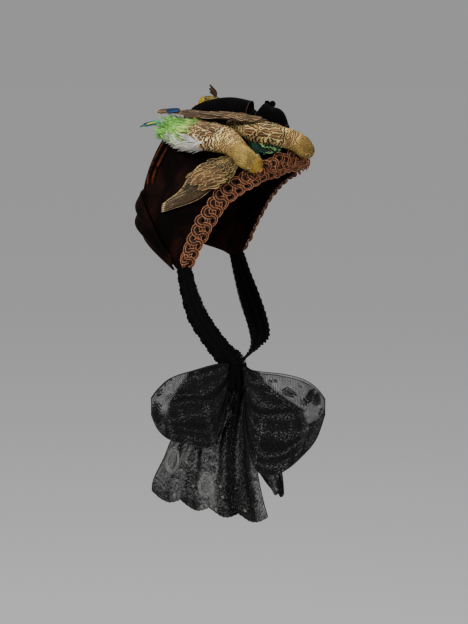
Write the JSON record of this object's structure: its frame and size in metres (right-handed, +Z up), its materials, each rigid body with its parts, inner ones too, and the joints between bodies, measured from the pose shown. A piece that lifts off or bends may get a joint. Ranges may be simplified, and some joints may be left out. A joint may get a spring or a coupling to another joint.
{
  "type": "bonnet",
  "caption": "Late Victorian velvet bonnet with a looped braid edge, black velvet bow, mounted parakeets on the crown and black lace ties knotted in a bow.",
  "frame": {"origin": "where the top of the head meets the inside of the crown", "axes": "+Z up through the crown, +Y towards the back of the head, -Y towards the face, +X to the wearer's left"},
  "size_m": [0.1604, 0.2117, 0.428],
  "materials": {
    "velvet": "dark brown silk velvet",
    "braid": "copper brown looped cord",
    "ribbon": "black silk velvet",
    "plumage": "barred buff and brown body feathers",
    "flight_feathers": "brown feathers edged with cream",
    "tail_feathers": "blue-green tail feathers",
    "beak": "semi-gloss horn",
    "glass_bead": "glossy black bead",
    "lace": "fine black silk lace"
  },
  "bodies": {
    "root": {"bow_fall_front": "ribbon", "bow_knot": "ribbon", "bow_loop_front": "ribbon", "bow_loop_rear": "ribbon", "chin_knot": "lace", "crown": "velvet", "face_braid": "braid", "far_bird_beak": "beak", "far_bird_body": "plumage", "far_bird_left_eye": "glass_bead", "far_bird_right_eye": "glass_bead", "far_bird_tail": "tail_feathers", "far_bird_wing": "flight_feathers", "far_tie": "lace", "front_piping": "velvet", "lace_end_narrow": "lace", "lace_end_wide": "lace", "lace_loop_back": "lace", "lace_loop_front": "lace", "middle_bird_beak": "beak", "middle_bird_body": "plumage", "middle_bird_far_wing": "flight_feathers", "middle_bird_left_eye": "glass_bead", "middle_bird_near_wing": "flight_feathers", "middle_bird_right_eye": "glass_bead", "middle_bird_tail": "tail_feathers", "nape_drape": "velvet", "near_bird_beak": "beak", "near_bird_body": "plumage", "near_bird_left_eye": "glass_bead", "near_bird_right_eye": "glass_bead", "near_bird_tail": "tail_feathers", "near_bird_wing": "flight_feathers", "near_tie": "lace", "rear_panel": "velvet", "rear_piping": "velvet"}
  },
  "joints": []
}
